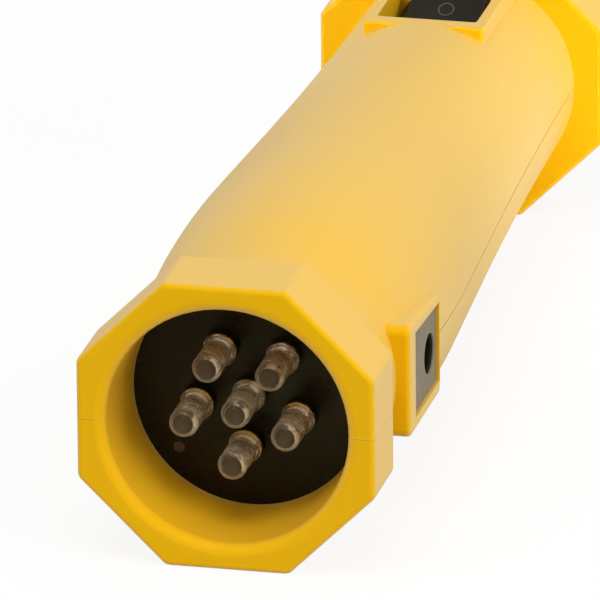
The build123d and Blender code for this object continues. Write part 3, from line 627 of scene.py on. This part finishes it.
def pale_floor():
    m = Material("pale_floor")
    camera_ray = m.node("ShaderNodeLightPath").outputs["Is Camera Ray"]
    pale = m.mix(m.remap(m.noise(scale=3), to=(0, 1)), (0.90, 0.90, 0.895), (0.93, 0.93, 0.925))
    dull = m.mix(m.remap(m.noise(scale=3), to=(0, 1)),
                 (FLOOR_BOUNCE,) * 3, (FLOOR_BOUNCE * 1.03,) * 3)
    m.set(Base_Color=m.mix(camera_ray, dull, pale), Roughness=0.8, Specular_IOR_Level=0.05)
    m.bump((m.noise(scale=300), 2e-5))
    glow = m.node("ShaderNodeEmission", {"Color": (1, 1, 1), "Strength": 1.0})
    lifted = m.blend(m.math("MULTIPLY", camera_ray, FLOOR_LIFT), m.bsdf.outputs[0],
                     glow.outputs[0])
    underside = m.node("ShaderNodeNewGeometry").outputs["Backfacing"]
    clear = m.node("ShaderNodeBsdfTransparent").outputs[0]      # clear from underneath
    m.surface(m.blend(underside, lifted, clear))
    return m.mat


floor = floor_plane()
floor.data.materials.append(pale_floor())

# ------------------------------------------------------------------ sky
SKY_BASE = 0.585             # strength in every direction
SKY_LOBES = [                # axis, sign, strength added towards it as a cosine lobe
    ("Y", 1, 0.0), ("Y", -1, 0.0), ("X", 1, 0.10), ("X", -1, 0.12), ("Z", 1, 0.0)]


def sky():
    world = bpy.data.worlds.new("studio")
    scene.world = world
    g = Graph(world)
    output = g.node("ShaderNodeOutputWorld")
    direction = g.separate(g.node("ShaderNodeTexCoord").outputs["Generated"])
    strength = SKY_BASE
    for axis, sign, lobe in SKY_LOBES:
        towards = g.math("MAXIMUM", g.math("MULTIPLY", direction[axis], sign), 0.0)
        strength = g.math("MULTIPLY_ADD", towards, lobe, strength)
    # the lighting, and the white backdrop that the camera sees
    light, backdrop = [g.node("ShaderNodeBackground", {"Color": (1, 1, 1), "Strength": value})
                       for value in (strength, 1.0)]
    camera_ray = g.node("ShaderNodeLightPath").outputs["Is Camera Ray"]
    g.feed(output.inputs["Surface"],
           g.blend(camera_ray, light.outputs[0], backdrop.outputs[0]))


sky()

# ------------------------------------------------------------------ lamps
# name, place, aimed at, (width, height), watts, spread in degrees or None for the default
LAMPS = [
    ("front_high", (0.0, -0.45, 0.85), (0, 0, 0), (0.6, 0.4), 3.6, None),
    ("right_fill", (0.9, -0.25, 0.35), (0, 0.03, 0), (0.5, 0.5), 3.5, None),
    ("right_low", (0.17, -0.07, -0.004), (0.024, 0.080, -0.013), (0.05, 0.03), 0.015, 42),
    ("left_low", (-0.17, -0.07, 0.03), (-0.022, 0.080, 0.008), (0.05, 0.03), 0.011, 42),
    ("front_low", (0.0, -0.135, -0.0222), (0, -0.095, -0.018), (0.05, 0.003), 0.0012, None),
]
for name, place, aim, size, watts, spread in LAMPS:
    light = bpy.data.lights.new(name, "AREA")
    light.shape = "RECTANGLE"
    light.size, light.size_y = size
    light.energy = watts
    if spread:
        light.spread = math.radians(spread)
    lamp = bpy.data.objects.new(name, light)
    scene.collection.objects.link(lamp)
    lamp.location = place
    lamp.rotation_euler = (Vector(aim) - Vector(place)).to_track_quat("-Z", "Y").to_euler()
    lamp.visible_camera = False

# ------------------------------------------------------------------ camera
AZIMUTH, ELEVATION, ROLL = map(math.radians, (13.42, 20.28, -0.57))   # azimuth: front to right
DISTANCE = 2.55
# where the foremost point of the axis sits in the view, right and up of its middle, metres
VIEW_X, VIEW_Y = -0.01225954, -0.02120965

back = Vector((math.sin(AZIMUTH) * math.cos(ELEVATION),
               -math.cos(AZIMUTH) * math.cos(ELEVATION), math.sin(ELEVATION)))
level = Vector((math.cos(AZIMUTH), math.sin(AZIMUTH), 0))
upright = back.cross(level)
right = level * math.cos(ROLL) + upright * math.sin(ROLL)
up = -level * math.sin(ROLL) + upright * math.cos(ROLL)

camera_data = bpy.data.cameras.new("camera")
camera_data.sensor_width = 36.0
camera_data.lens = 938.502
camera_data.clip_start = 0.1
camera_data.clip_end = 50
camera = bpy.data.objects.new("camera", camera_data)
scene.collection.objects.link(camera)
place = Vector((0, lowest[1], 0)) - right * VIEW_X - up * VIEW_Y + back * DISTANCE
camera.matrix_world = (Matrix.Translation(place)
                       @ Matrix((right, up, back)).transposed().to_4x4())
scene.camera = camera
scene.view_settings.view_transform = "Standard"
scene.view_settings.look = "None"
